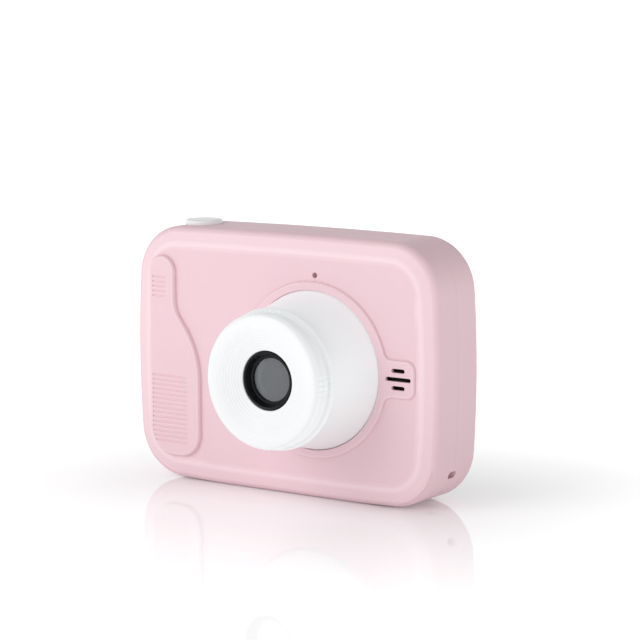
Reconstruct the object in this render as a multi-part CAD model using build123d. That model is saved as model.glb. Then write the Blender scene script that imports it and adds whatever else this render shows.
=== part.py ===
from build123d import *
from functools import partial
import math
import os

# A child's digital camera: a pink two-part case, a white fixed lens barrel, keys behind and on top.
# Millimetres. +Z is up and the lens looks along -Y. Depths are counted from the flat of the front
# face (y = 0, body behind it) and heights from the base; the finished pieces are then slid along Y so
# that the origin is the middle of the whole camera's footprint.

# ---- Case ------------------------------------------------------------------------------------------
BODY_W = 96.5            # width at the fullest point of the sides
BODY_H = 68.6            # height at the crown of the top
BODY_D = 20.7            # front face to back face
SIDE_BULGE = 1.8         # how far each side bows out
TOP_BULGE = 0.65         # how far the top bows up
BASE_BULGE = 1.2         # how far the base curves up at its ends
BASE_FLAT = 36.0         # width of the flat that the camera stands on
CORNER_R = 13.9          # corners seen from the front
BEVEL_IN = 5.0           # width of the shallow bevel round the front face
BEVEL_BACK = 1.6         # depth of that bevel
CREASE_R = 8.0           # soft crease between front face and bevel
FRONT_EDGE_R = 2.2       # edge between bevel and side
BACK_EDGE_R = 2.2        # edge between side and back
WALL = 2.0               # side and front walls
BACK_WALL = 1.8
SEAM_EDGE = 0.1          # small chamfer of both halves along the joint between them
LIP_T = 0.9              # tongue of the rear half inside the front half
LIP_LENGTH = 1.3
FIT = 0.1                # gap round pieces that are pushed together
SLACK = 0.2              # gap round pieces that slide

# ---- Grip pad on the front face --------------------------------------------------------------------
GRIP_RAISE = 1.2
GRIP_EDGE_R = 0.8
GRIP_LEFT = 6.05         # from the case's side
GRIP_TOP = 8.1           # from the case's top
GRIP_BOTTOM = 6.6        # from the base
GRIP_NARROW_W = 8.5      # upper, narrow part
GRIP_WIDE_W = 16.55      # lower, wide part
GRIP_BEND_DOWN = 22.2    # from the case's top to where the edge starts to slant
GRIP_SLANT = 10.9        # height of the slant
GRIP_BEND_TOP_R = 8.3
GRIP_BEND_LOW_R = 23.0
GRIP_TOP_R = 4.2
GRIP_LOW_OUTER_R = 7.5
GRIP_LOW_INNER_R = 6.5
RIB_PITCH = 1.265
RIB_CUT_W = 0.5
RIB_CUT_DEEP = 0.2
SMALL_RIBS = 5
SMALL_RIB_L = 4.6
SMALL_RIBS_DOWN = 13.9   # first small rib from the case's top
LARGE_RIB_L = 11.8
LARGE_RIBS_DOWN = 7.3    # first large rib below the slant
LARGE_RIBS_UP = 3.6      # last one at least this far above the pad's lower edge
RIB_FROM_EDGE = 1.0      # from the pad's left edge

# ---- Raised lens surround and speaker tab ----------------------------------------------------------
LENS_X = 10.75
LENS_BELOW_MIDDLE = 0.45
SURROUND_OUT = 2.35      # beyond the foot of the barrel
SURROUND_RAISE = 0.75
SURROUND_EDGE_R = 0.6
TAB_OUT = 31.3           # from the lens axis to the tab's outer end
TAB_H = 9.8
TAB_CORNER_R = 2.5
TAB_BLEND_R = 2.2
SLOT_W = 1.1
GRILLE_T = 0.9           # the wall is thinned to this behind the slots
SLOT_PITCH = 2.2
LONG_SLOT = 7.6
SHORT_SLOT = 4.0
SLOTS_OUT = 26.5         # lens axis to the middle of the slots
MIC_R = 0.75
MIC_UP = 24.55           # above the lens axis
MIC_SIDE = 0.55

# ---- Lens barrel, ring and glass -------------------------------------------------------------------
BARREL_R = 20.7          # at the case
BARREL_TIP_R = 16.95     # at the ring
BARREL_L = 16.0
BARREL_WALL = 1.8
BARREL_SEAT_R = 12.0     # opening in the case behind the barrel
RING_BEAD_OUT = 1.25     # bead at the back of the ring, beyond the barrel's tip
RING_SIDE_OUT = 0.45     # plain side of the ring, beyond the barrel's tip
RING_RIM_R = 1.5         # rounding between face and side
RING_FRONT = 6.75        # ring's rim ahead of the barrel
RING_SLOPE = 21.5        # degrees that the dished face slopes inward
RING_EASE = 2.9          # width over which that slope eases into the rim
BEAD_R = 0.95            # half-round of the bead
RING_SPIGOT_L = 2.5
RING_SPIGOT_IN = 2.05    # inside the barrel's tip
RING_SPIGOT_T = 1.3
RING_HOLE_OUT = 1.5      # hole in the ring, beyond the glass
FACE_GROOVE_PITCH = 0.72
FACE_GROOVES_FROM = 1.0  # innermost groove, beyond the hole
FACE_GROOVES_STOP = 1.1  # plain band inside the rim
FACE_GROOVE_DEEP = 0.045
NOTCH_COUNT = 4          # short notches in each group on the ring's side
NOTCH_PITCH = 4.6        # degrees
NOTCH_W = 0.9
NOTCH_DEEP = 0.32
NOTCH_L = 4.1
BEZEL_L = 4.6
GLASS_R = 6.2
GLASS_REST = 0.7         # width of the bezel's rest in front of the glass
GLASS_T = 0.9
GLASS_BACK = 2.3         # how far the glass lies behind the bezel's front
BARREL_SCREWS = 3
BARREL_SCREW_IN = 5.5    # from the foot of the barrel to the screws' circle

# ---- Front camera module ---------------------------------------------------------------------------
CAM_LENS_R = 4.5
CAM_LENS_L = 4.3
CAM_HOLDER = 12.0
CAM_HOLDER_T = 5.0
CAM_BOARD = 14.0
CAM_BOARD_T = 1.0
BRACKET_R = 13.1
BRACKET_T = 1.5
BRACKET_TUBE_R = 9.4
BRACKET_TUBE_T = 1.4
CABLE_W = 8.0
CABLE_T = 0.3

# ---- Main board and what stands on it --------------------------------------------------------------
BOARD_BEHIND_SEAM = 0.85 # front of the board
BOARD_T = 1.2
BOARD_GAP = 3.2          # from the board's edge to the inside of the case
BOARD_POST_R = 2.3
BOARD_SCREW_LOW = 12.8
BOARD_SCREW_TOP = 10.5   # from the case's top
BOARD_SCREW_SIDE = 15.5  # from the case's right side
BOARD_SCREW_BY_KEYS = 12.0  # beside the direction keys
BOARD_SCREW_L = 6.0
BARREL_SCREW_L = 6.5
BARREL_BOSS_R = 1.9
BARREL_BOSS_L = 6.0
SCREW_R = 1.0            # all the screws are the same thread
SCREW_HEAD_R = 1.9
SCREW_HEAD_T = 1.2
SWITCH = 4.5             # square body of a push switch
SWITCH_T = 1.5
PLUNGER_R = 1.1
PLUNGER_L = 0.4
CHIP = 9.0
CHIP_T = 1.0
CHIP_LOW = 17.0
CHIP_BY_KEYS = 19.0      # beside the direction keys
USB_W = 9.0              # along the case's side
USB_T = 3.2
USB_L = 7.3
USB_SLOT_W = 8.4
USB_SLOT_H = 2.6
CARD_W = 12.0
CARD_T = 1.8
CARD_L = 11.6
CARD_SLOT_H = 1.0

# ---- Keys ------------------------------------------------------------------------------------------
KEY_PROUD = 0.9          # above the back face
KEY_TRAVEL = 0.5
KEY_FLANGE = 0.65        # how far the flange reaches beyond the cap
KEY_FLANGE_T = 0.8
KEY_EDGE_R = 0.45
STEM_R = 1.3
PAD_FROM_SIDE = 18.5     # middle of the direction keys from the case's side
PAD_ABOVE_MIDDLE = 1.75
PAD_R = 9.5
PAD_INNER_R = 5.6
PAD_GAP = 1.9            # between neighbouring direction keys
OK_R = 3.6
ROUND_KEY_R = 3.2
ROUND_KEYS_UP = 17.0     # mode and album keys above the direction keys' middle
ROUND_KEYS_SPREAD = 6.5
POWER_DOWN = 18.5        # power key below the direction keys' middle
LIGHT_SIDE = 9.0         # status light beside the power key
LIGHT_R = 0.8
MARK_DEEP = 0.18

# ---- Shutter button --------------------------------------------------------------------------------
SHUTTER_R = 5.0
SHUTTER_FROM_SIDE = 16.2
SHUTTER_PROUD = 1.6
SHUTTER_TRAVEL = 0.8
SHUTTER_FLANGE = 0.8     # how far the flange reaches beyond the cap
SHUTTER_FLANGE_T = 0.9
SHUTTER_PLUNGER_DROP = 2.6  # switch's plunger below the flange
SHUTTER_FLANGE_DROP = 3.2   # flange below the case's skin
SHUTTER_EDGE_R = 0.7

# ---- Screen ----------------------------------------------------------------------------------------
SCREEN_W = 54.0
SCREEN_H = 42.0
SCREEN_R = 4.0
SCREEN_T = 1.15
SCREEN_FROM_SIDE = 7.5
SCREEN_BELOW_MIDDLE = 1.25
VIEW_W = 41.0            # visible area of a 2.0 inch panel
VIEW_H = 31.0
PANEL_W = 50.0
PANEL_H = 37.0
PANEL_T = 2.2
SELFIE_UP = 26.5         # second lens above the screen's middle
SELFIE_R = 3.2
SELFIE_VIEW_R = 2.0
SELFIE_BOX = 8.0

# ---- Port cover on the side ------------------------------------------------------------------------
PORT_W = 6.0             # front to back
PORT_T = 1.5
PORT_FROM_SEAM = 1.05
PORT_DOWN = 18.25        # its hinge below the direction keys' middle
PORT_UP = 14.25          # its top above the direction keys' middle
USB_UP = 8.0             # socket above the direction keys' middle
CARD_DOWN = 12.0         # socket below the direction keys' middle
PORT_FLOOR = 1.6         # case wall behind the cover
PORT_PLUG = 0.7          # ribs that reach into the sockets' mouths

# ---- Case screws, lanyard eye ----------------------------------------------------------------------
CASE_SCREW_SIDE = 6.2    # from the case's side
CASE_SCREW_LOW = 15.0
CASE_SCREW_TOP = 11.5    # from the case's top
BOSS_R = 2.6
HEAD_SINK = 3.0          # screw heads below the back face
EYE_W = 3.5              # lanyard eye, front to back
EYE_H = 1.9
EYE_Z = 8.7
EYE_IN = 8.6             # passage's turn from the case's side
EYE_BLOCK = 2.2          # solid round the passage

# ---- Battery, speaker, microphone ------------------------------------------------------------------
BATTERY_W = 28.0
BATTERY_H = 38.0
BATTERY_T = 6.0
BATTERY_FROM_SIDE = 9.5
BATTERY_Z = 12.0
PAD_T = 0.6
SPEAKER_R = 7.4
SPEAKER_T = 3.4
GASKET_W = 1.6
MIC_BODY_R = 2.0
MIC_BODY_T = 1.5
LEAD_R = 0.5

# ---- Worked out from the above ---------------------------------------------------------------------
half_w = BODY_W / 2
seam_y = BODY_D / 2
back_inside = BODY_D - BACK_WALL
board_y = seam_y + BOARD_BEHIND_SEAM
board_back = board_y + BOARD_T
plunger_y = board_back + SWITCH_T + PLUNGER_L
pad_x = -half_w + PAD_FROM_SIDE
pad_z = BODY_H / 2 + PAD_ABOVE_MIDDLE
screen_x = half_w - SCREEN_FROM_SIDE - SCREEN_W / 2
screen_z = BODY_H / 2 - SCREEN_BELOW_MIDDLE
shutter_x = -half_w + SHUTTER_FROM_SIDE
port_low = pad_z - PORT_DOWN
port_top = pad_z + PORT_UP
lens_z = BODY_H / 2 - LENS_BELOW_MIDDLE
grip_bend_top = BODY_H - GRIP_BEND_DOWN
grip_bend_low = grip_bend_top - GRIP_SLANT
speaker_x = LENS_X + SLOTS_OUT
mic_x = LENS_X + MIC_SIDE
mic_z = lens_z + MIC_UP
surround_r = BARREL_R + SURROUND_OUT
ring_r = BARREL_TIP_R + RING_BEAD_OUT
ring_side_r = BARREL_TIP_R + RING_SIDE_OUT
ring_spigot_r = BARREL_TIP_R - RING_SPIGOT_IN
ring_hole_r = GLASS_R + RING_HOLE_OUT
bezel_throat_r = GLASS_R - GLASS_REST
ring_front_y = -(BARREL_L + RING_FRONT)
face_slope = math.radians(RING_SLOPE)
face_rise = math.tan(face_slope)
rim_middle_r = ring_side_r - RING_RIM_R
ease_from_r = rim_middle_r - RING_EASE
ease_r = RING_EASE / math.sin(face_slope)
ease_y = ring_front_y + ease_r * (1 - math.cos(face_slope))
ring_face_y = ease_y + (ease_from_r - ring_hole_r) * face_rise
groove_in_r = ring_hole_r + FACE_GROOVES_FROM
groove_count = int((rim_middle_r - FACE_GROOVES_STOP - groove_in_r) / FACE_GROOVE_PITCH) + 1
bezel_front_y = ring_face_y - 0.1
glass_front_y = bezel_front_y + GLASS_BACK
glass_back_y = glass_front_y + GLASS_T
bracket_back_y = -BARREL_WALL
cam_lens_y = glass_back_y + 0.5
cam_holder_y = cam_lens_y + CAM_LENS_L
cam_board_y = cam_holder_y + CAM_HOLDER_T
cam_board_back_y = cam_board_y + CAM_BOARD_T
port_y = seam_y + PORT_FROM_SEAM
shift_y = (-ring_front_y - (BODY_D + KEY_PROUD)) / 2

os.makedirs("parts", exist_ok=True)


# ---- Helpers for placing shapes --------------------------------------------------------------------
def slab(sketch, y_from, y_to):
    """A front-view outline (x, z) made solid between two depths."""
    return extrude(Plane.XZ.offset(-y_from) * sketch, amount=y_to - y_from, dir=(0, 1, 0))


def rod(x, z, radius, y_from, y_to):
    """A round bar or hole along Y."""
    return slab(Pos(x, z) * Circle(radius), y_from, y_to)


def post(x, y, radius, z_from, z_to):
    """A round bar or hole along Z."""
    return extrude(Pos(x, y, z_from) * Circle(radius), amount=z_to - z_from)


def block(x_from, x_to, y_from, y_to, z_from, z_to):
    """A box between two corners."""
    middle = Pos((x_from + x_to) / 2, (y_from + y_to) / 2, (z_from + z_to) / 2)
    return middle * Box(x_to - x_from, y_to - y_from, z_to - z_from)


def turned(face):
    """An (r, y) half-profile turned round the lens axis."""
    profile = Pos(LENS_X, 0, lens_z) * face
    return revolve(profile, Axis((LENS_X, 0, lens_z), (0, 1, 0)))


def turned_points(*points):
    """The same for a profile of straight lines only."""
    return turned(make_face(Polyline(*points, close=True)))


def screw(x, z, head_y, length):
    """One round-headed screw along Y with its head to the back."""
    top_y = head_y + SCREW_HEAD_T
    shank = rod(x, z, SCREW_R, head_y - length, head_y)
    head = rod(x, z, SCREW_HEAD_R, head_y, top_y)
    head = fillet(head.edges().filter_by(GeomType.CIRCLE).sort_by(Axis.Y)[-1], SCREW_HEAD_T * 0.4)
    cross = Rectangle(SCREW_HEAD_R * 1.1, 0.4) + Rectangle(0.4, SCREW_HEAD_R * 1.1)
    return head + shank - slab(Pos(x, z) * cross, top_y - SCREW_HEAD_T * 0.5, top_y)


# ---- Case ------------------------------------------------------------------------------------------
def bow_radius(half_chord, rise):
    """Radius of an arc that rises this far over half its chord."""
    return (half_chord**2 + rise**2) / (2 * rise)


def meet(a, a_r, b, b_r):
    """The lower or upper right crossing of two circles, as the one further out along X."""
    dx, dz = b[0] - a[0], b[1] - a[1]
    gap = (dx**2 + dz**2) ** 0.5
    along = (gap**2 + a_r**2 - b_r**2) / (2 * gap)
    across = (a_r**2 - along**2) ** 0.5
    foot_x, foot_z = a[0] + along * dx / gap, a[1] + along * dz / gap
    pair = [(foot_x + s * across * dz / gap, foot_z - s * across * dx / gap) for s in (-1, 1)]
    return max(pair)


def case_outline(inset=0.0):
    """Front view of the case: bowed sides and top, a base with a flat in its middle."""
    middle_z = BODY_H / 2
    side_x = half_w - SIDE_BULGE
    side_r = bow_radius(middle_z - BASE_BULGE, SIDE_BULGE)
    top_r = bow_radius(side_x, TOP_BULGE)
    base_r = bow_radius(side_x - BASE_FLAT / 2, BASE_BULGE)
    side = (half_w - side_r, middle_z), side_r - inset
    high_x, high_z = meet(*side, (0, BODY_H - top_r), top_r - inset)
    low_x, low_z = meet(*side, (BASE_FLAT / 2, base_r), base_r - inset)
    edges = [
        ThreePointArc((low_x, low_z), (half_w - inset, middle_z), (high_x, high_z)),
        ThreePointArc((high_x, high_z), (0, BODY_H - inset), (-high_x, high_z)),
        ThreePointArc((-high_x, high_z), (inset - half_w, middle_z), (-low_x, low_z)),
        TangentArc((-BASE_FLAT / 2, inset), (-low_x, low_z), tangent=(-1, 0)),
        Line((-BASE_FLAT / 2, inset), (BASE_FLAT / 2, inset)),
        TangentArc((BASE_FLAT / 2, inset), (low_x, low_z), tangent=(1, 0)),
    ]
    face = make_face(edges)
    corners = [v for v in face.vertices() if abs(v.X) > BASE_FLAT / 2 + 1]
    return fillet(corners, CORNER_R - inset)


def front_skin():
    """Outside of the front half: bevelled front with a soft crease, chamfered at the seam."""
    solid = slab(case_outline(), 0, seam_y)
    front_face = solid.faces().sort_by(Axis.Y)[0]
    solid = chamfer(front_face.edges(), length=BEVEL_IN, length2=BEVEL_BACK, reference=front_face)
    crease = solid.edges().group_by(Axis.Y)[0]
    solid = fillet(crease, CREASE_R)
    bevel_edge = [
        e for e in solid.edges()
        if abs(e.bounding_box().min.Y - BEVEL_BACK) < 0.02
        and abs(e.bounding_box().max.Y - BEVEL_BACK) < 0.02
    ]
    solid = fillet(bevel_edge, FRONT_EDGE_R)
    return chamfer(solid.edges().group_by(Axis.Y)[-1], SEAM_EDGE)


def back_skin():
    """Outside of the rear half."""
    solid = slab(case_outline(), seam_y, BODY_D)
    solid = fillet(solid.edges().group_by(Axis.Y)[-1], BACK_EDGE_R)
    return chamfer(solid.edges().group_by(Axis.Y)[0], SEAM_EDGE)


def eye_block(y_from, y_to):
    """Solid corner round the lanyard eye."""
    corner = Pos(half_w, 0) * Rectangle(2 * (EYE_IN + EYE_H / 2 + EYE_BLOCK), 2 * (EYE_Z + EYE_BLOCK))
    return slab(corner & case_outline(WALL / 2), y_from, y_to)


def eye_passage():
    """The eye runs in from the side, turns and leaves through the base, centred on the seam."""
    turn_x = half_w - EYE_IN
    low = block(turn_x - EYE_H / 2, turn_x + EYE_H / 2, seam_y - EYE_W / 2, seam_y + EYE_W / 2, -1, EYE_Z)
    side = block(turn_x, half_w + 1, seam_y - EYE_W / 2, seam_y + EYE_W / 2,
                 EYE_Z - EYE_H / 2, EYE_Z + EYE_H / 2)
    side = fillet(side.edges().filter_by(Axis.X), EYE_H / 2 - 0.05)
    low = fillet(low.edges().filter_by(Axis.Z), EYE_H / 2 - 0.05)
    turn = Pos(turn_x, seam_y, EYE_Z) * Box(EYE_H, EYE_W - 1.2, EYE_H)
    return low + side + turn


def case_screw_places():
    """The four screws that hold the halves together."""
    x = half_w - CASE_SCREW_SIDE
    return [(sx, z) for sx in (-x, x) for z in (CASE_SCREW_LOW, BODY_H - CASE_SCREW_TOP)]


def barrel_screw_places():
    """Screws through the front wall into the barrel, evenly round the lens axis."""
    spots = PolarLocations(BARREL_R - BARREL_SCREW_IN, BARREL_SCREWS, start_angle=90)
    return [(LENS_X + s.position.X, lens_z + s.position.Y) for s in spots]


def board_screw_places():
    """Screws that hold the main board on the front half's posts."""
    left = pad_x + PAD_R + BOARD_SCREW_BY_KEYS
    right = half_w - BOARD_SCREW_SIDE
    return [(x, z) for x in (left, right) for z in (BOARD_SCREW_LOW, BODY_H - BOARD_SCREW_TOP)]


def grip_outline():
    """The grip pad: narrow above, an S-shaped step, wide below."""
    left = -half_w + GRIP_LEFT
    top = BODY_H - GRIP_TOP
    narrow = left + GRIP_NARROW_W
    wide = left + GRIP_WIDE_W
    corners = [
        (left, top),
        (narrow, top),
        (narrow, grip_bend_top),
        (wide, grip_bend_low),
        (wide, GRIP_BOTTOM),
        (left, GRIP_BOTTOM),
    ]
    radii = [GRIP_TOP_R, GRIP_TOP_R, GRIP_BEND_TOP_R, GRIP_BEND_LOW_R, GRIP_LOW_INNER_R,
             GRIP_LOW_OUTER_R]
    face = make_face(Polyline(*corners, close=True))
    for corner, radius in zip(corners, radii):
        vertex = face.vertices().sort_by_distance((corner[0], corner[1], 0))[0]
        face = fillet(vertex, radius)
    return face


def grip_ribs():
    """Rows of shallow cuts across the pad; the lowest ones are shorter in the pad's corner."""
    left = -half_w + GRIP_LEFT + RIB_FROM_EDGE
    cuts = []
    for row in range(SMALL_RIBS):
        z = BODY_H - SMALL_RIBS_DOWN - row * RIB_PITCH
        cuts.append(Pos(left + 0.3 + SMALL_RIB_L / 2, z) * SlotOverall(SMALL_RIB_L, RIB_CUT_W))
    large_top = grip_bend_low - LARGE_RIBS_DOWN
    large_ribs = int((large_top - GRIP_BOTTOM - LARGE_RIBS_UP) / RIB_PITCH) + 1
    for row in range(large_ribs):
        z = large_top - row * RIB_PITCH
        into_corner = max(0.0, GRIP_BOTTOM + GRIP_LOW_OUTER_R - z)
        trim = GRIP_LOW_OUTER_R - (GRIP_LOW_OUTER_R**2 - into_corner**2) ** 0.5
        length = LARGE_RIB_L - trim
        cuts.append(Pos(left + trim + length / 2, z) * SlotOverall(length, RIB_CUT_W))
    return Sketch() + cuts


def surround_outline():
    """The raised round of the lens with the speaker tab on its right."""
    tab_l = TAB_OUT - BARREL_R
    tab = Pos(TAB_OUT - tab_l / 2, 0) * Rectangle(tab_l, TAB_H)
    tab = fillet(tab.vertices().group_by(Axis.X)[-1], TAB_CORNER_R)
    face = Circle(surround_r) + tab
    roots = [v for v in face.vertices() if abs(abs(v.Y) - TAB_H / 2) < 0.01 and v.X < TAB_OUT - 4]
    roots = [v for v in roots if abs((v.X**2 + v.Y**2) ** 0.5 - surround_r) < 0.05]
    return Pos(LENS_X, lens_z) * fillet(roots, TAB_BLEND_R)


def front_shell():
    """Front half of the case, with the grip pad, the lens surround and the posts inside."""
    pad = slab(grip_outline(), -GRIP_RAISE, BEVEL_BACK / 2)
    pad = fillet(pad.edges().group_by(Axis.Y)[0], GRIP_EDGE_R)
    surround = slab(surround_outline(), -SURROUND_RAISE, BEVEL_BACK / 2)
    surround = fillet(surround.edges().group_by(Axis.Y)[0], SURROUND_EDGE_R)
    solid = front_skin() + pad + surround
    cavity = slab(case_outline(WALL), WALL, seam_y)
    cavity = chamfer(cavity.edges().group_by(Axis.Y)[0], 1.2)
    solid -= cavity
    solid += eye_block(WALL / 2, seam_y)
    rebate = case_outline(WALL - LIP_T - FIT) - case_outline(WALL + FIT)
    solid -= slab(rebate, seam_y - LIP_LENGTH - FIT, seam_y)
    for x, z in case_screw_places():
        solid += rod(x, z, BOSS_R, WALL / 2, seam_y)
    for x, z in board_screw_places():
        solid += rod(x, z, BOARD_POST_R, WALL / 2, board_y)
    for x, z in case_screw_places():
        solid -= rod(x, z, SCREW_R + 0.02, WALL + 1, seam_y)
    for x, z in board_screw_places():
        solid -= rod(x, z, SCREW_R + 0.02, WALL + 1, board_y)
    seat = rod(LENS_X, lens_z, BARREL_R + FIT, -SURROUND_RAISE, 0)
    solid -= seat + rod(LENS_X, lens_z, BARREL_SEAT_R, 0, WALL)
    for x, z in barrel_screw_places():
        solid -= rod(x, z, SCREW_R + FIT, 0, WALL)
    slots = Sketch() + [
        Pos(speaker_x, lens_z + row * SLOT_PITCH) * SlotOverall(length, SLOT_W)
        for row, length in ((-1, SHORT_SLOT), (0, LONG_SLOT), (1, SHORT_SLOT))
    ]
    solid -= slab(slots, -SURROUND_RAISE, WALL)
    solid -= rod(speaker_x, lens_z, SPEAKER_R - GASKET_W, GRILLE_T - SURROUND_RAISE, WALL)
    solid -= rod(mic_x, mic_z, MIC_R, 0, WALL)
    solid -= slab(grip_ribs(), -GRIP_RAISE, -GRIP_RAISE + RIB_CUT_DEEP)
    solid -= eye_passage()
    solid -= shutter_hole()
    return solid


def shutter_hole():
    """Round hole through the top wall, half in each shell."""
    low = BODY_H - TOP_BULGE - SHUTTER_FLANGE_DROP
    return post(shutter_x, seam_y, SHUTTER_R + SLACK, low, BODY_H + 1)


def rear_shell():
    """Rear half of the case: screen opening, key holes, port recess, tongue and screw posts."""
    solid = back_skin()
    cavity = slab(case_outline(WALL), seam_y, back_inside)
    cavity = fillet(cavity.edges().group_by(Axis.Y)[-1], 1.2)
    solid -= cavity
    tongue = case_outline(WALL - LIP_T) - case_outline(WALL)
    solid += slab(tongue, seam_y - LIP_LENGTH, seam_y + WALL)
    thick = block(-half_w + WALL / 2, -half_w + PORT_T + PORT_FLOOR + 0.6,
                  port_y - 1.0, back_inside + 0.2, port_low - 3, port_top + 2)
    solid += thick & slab(case_outline(WALL / 2), port_y - 2, back_inside + 0.2)
    solid += eye_block(seam_y, back_inside + 0.2)
    for x, z in case_screw_places():
        solid += rod(x, z, BOSS_R, seam_y, back_inside + 0.2)
    for x, z in case_screw_places():
        solid -= rod(x, z, SCREW_R + FIT, seam_y, BODY_D)
        solid -= rod(x, z, SCREW_HEAD_R + SLACK, BODY_D - HEAD_SINK - SCREW_HEAD_T, BODY_D)
    seat = RectangleRounded(SCREEN_W + 2 * FIT, SCREEN_H + 2 * FIT, SCREEN_R)
    solid -= slab(Pos(screen_x, screen_z) * seat, BODY_D - SCREEN_T, BODY_D)
    solid -= slab(Pos(screen_x, screen_z) * RectangleRounded(VIEW_W, VIEW_H, 1), back_inside, BODY_D)
    for outline in key_outlines().values():
        solid -= slab(offset(outline, amount=SLACK), back_inside - 0.1, BODY_D)
    selfie_z = screen_z + SELFIE_UP
    solid -= rod(screen_x, selfie_z, SELFIE_VIEW_R, back_inside - 0.1, BODY_D)
    solid -= rod(screen_x, selfie_z, SELFIE_R + FIT, BODY_D - 0.8, BODY_D)
    solid -= rod(pad_x + LIGHT_SIDE, pad_z - POWER_DOWN, LIGHT_R + FIT, back_inside - 0.1, BODY_D)
    solid -= eye_passage()
    solid -= shutter_hole()
    return solid - port_recess() - socket_mouths()


# ---- Port cover ------------------------------------------------------------------------------------
def side_strip(grow, y_from, y_to, low, top):
    """A strip just under the case's left side, PORT_T thick, between two heights."""
    skin = case_outline() - case_outline(PORT_T + grow)
    window = Pos(-half_w, (low + top) / 2) * Rectangle(12, top - low)
    return slab(skin & window, y_from, y_to)


def skin_x(z):
    """X of the case's left side at a height on its bow."""
    bow_r = bow_radius(BODY_H / 2 - BASE_BULGE, SIDE_BULGE)
    return -half_w + bow_r - (bow_r**2 - (z - BODY_H / 2) ** 2) ** 0.5


def hinge_centre():
    """The cover's round root lies in the case's skin at its lower end."""
    return skin_x(port_low) + PORT_T / 2, port_low


def port_recess():
    """Space for the cover, with a round seat for its root."""
    x, z = hinge_centre()
    y_from, y_to = port_y - FIT, port_y + PORT_W + FIT
    strip = side_strip(FIT, y_from, y_to, z, port_top + SLACK)
    out = block(x - 3, x, y_from, y_to, z - PORT_T / 2 - FIT, z + PORT_T / 2)
    return strip + rod(x, z, PORT_T / 2 + FIT, y_from, y_to) + out


def socket_places():
    """Heights of the two sockets' middles: USB above, card below."""
    return {"usb": pad_z + USB_UP, "card": pad_z - CARD_DOWN}


def socket_mouths():
    """Holes through the case wall into the two sockets."""
    y = board_back + USB_T / 2
    z = socket_places()
    usb = block(-half_w, -half_w + 6, y - USB_SLOT_H / 2 - 0.3, y + USB_SLOT_H / 2 + 0.3,
                z["usb"] - USB_SLOT_W / 2 - 0.3, z["usb"] + USB_SLOT_W / 2 + 0.3)
    usb = fillet(usb.edges().filter_by(Axis.X), USB_SLOT_H / 2)
    card_y = board_back + CARD_T / 2
    card = block(-half_w, -half_w + 6, card_y - CARD_SLOT_H / 2, card_y + CARD_SLOT_H / 2,
                 z["card"] - CARD_W / 2 + 0.4, z["card"] + CARD_W / 2 - 0.4)
    return usb + card


def port_cover():
    """Soft cover over the sockets, flush with the side; it turns down about its round root."""
    x, z = hinge_centre()
    strip = side_strip(0, port_y, port_y + PORT_W, z, port_top)
    root = rod(x, z, PORT_T / 2, port_y, port_y + PORT_W)
    inside_x = skin_x(BODY_H / 2) + PORT_T - 0.1
    y = board_back + USB_T / 2
    heights = socket_places()
    usb_rib = block(inside_x, inside_x + PORT_PLUG, y - 0.8, y + 0.8,
                    heights["usb"] - USB_SLOT_W / 2 + 0.8, heights["usb"] + USB_SLOT_W / 2 - 0.8)
    grip_z = port_top - 1.6
    lip = rod(skin_x(grip_z) - 0.35, grip_z, 0.75, port_y + 1.2, port_y + PORT_W - 1.2)
    return strip + root + usb_rib + (lip & block(-half_w, 0, 0, BODY_D, 0, BODY_H))


# ---- Keys ------------------------------------------------------------------------------------------
def key_outlines():
    """Back-face outlines of every key cap, by node name."""
    ring = Circle(PAD_R) - Circle(PAD_INNER_R)
    cross = Rot(0, 0, 45) * (Rectangle(3 * PAD_R, PAD_GAP) + Rectangle(PAD_GAP, 3 * PAD_R))
    quarters = ring - cross
    quarters = fillet(quarters.vertices(), 0.6).faces()
    outlines = {}
    spots = {"up_key": (0, 1), "down_key": (0, -1), "left_key": (1, 0), "right_key": (-1, 0)}
    for name, (dx, dz) in spots.items():
        target = (dx * PAD_R, dz * PAD_R, 0)
        outlines[name] = Pos(pad_x, pad_z) * quarters.sort_by_distance(target)[0]
    outlines["ok_key"] = Pos(pad_x, pad_z) * Circle(OK_R)
    rows = {
        "mode_key": (-ROUND_KEYS_SPREAD, ROUND_KEYS_UP),
        "album_key": (ROUND_KEYS_SPREAD, ROUND_KEYS_UP),
        "power_key": (0, -POWER_DOWN),
    }
    for name, (dx, dz) in rows.items():
        outlines[name] = Pos(pad_x + dx, pad_z + dz) * Circle(ROUND_KEY_R)
    return outlines


def key_stems():
    """Where each key's stem stands over its switch."""
    middle_r = (PAD_R + PAD_INNER_R) / 2 - 0.75
    return {
        "up_key": (pad_x, pad_z + middle_r),
        "down_key": (pad_x, pad_z - middle_r),
        "left_key": (pad_x + middle_r, pad_z),
        "right_key": (pad_x - middle_r, pad_z),
        "ok_key": (pad_x, pad_z),
        "mode_key": (pad_x - ROUND_KEYS_SPREAD, pad_z + ROUND_KEYS_UP),
        "album_key": (pad_x + ROUND_KEYS_SPREAD, pad_z + ROUND_KEYS_UP),
        "power_key": (pad_x, pad_z - POWER_DOWN),
    }


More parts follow.
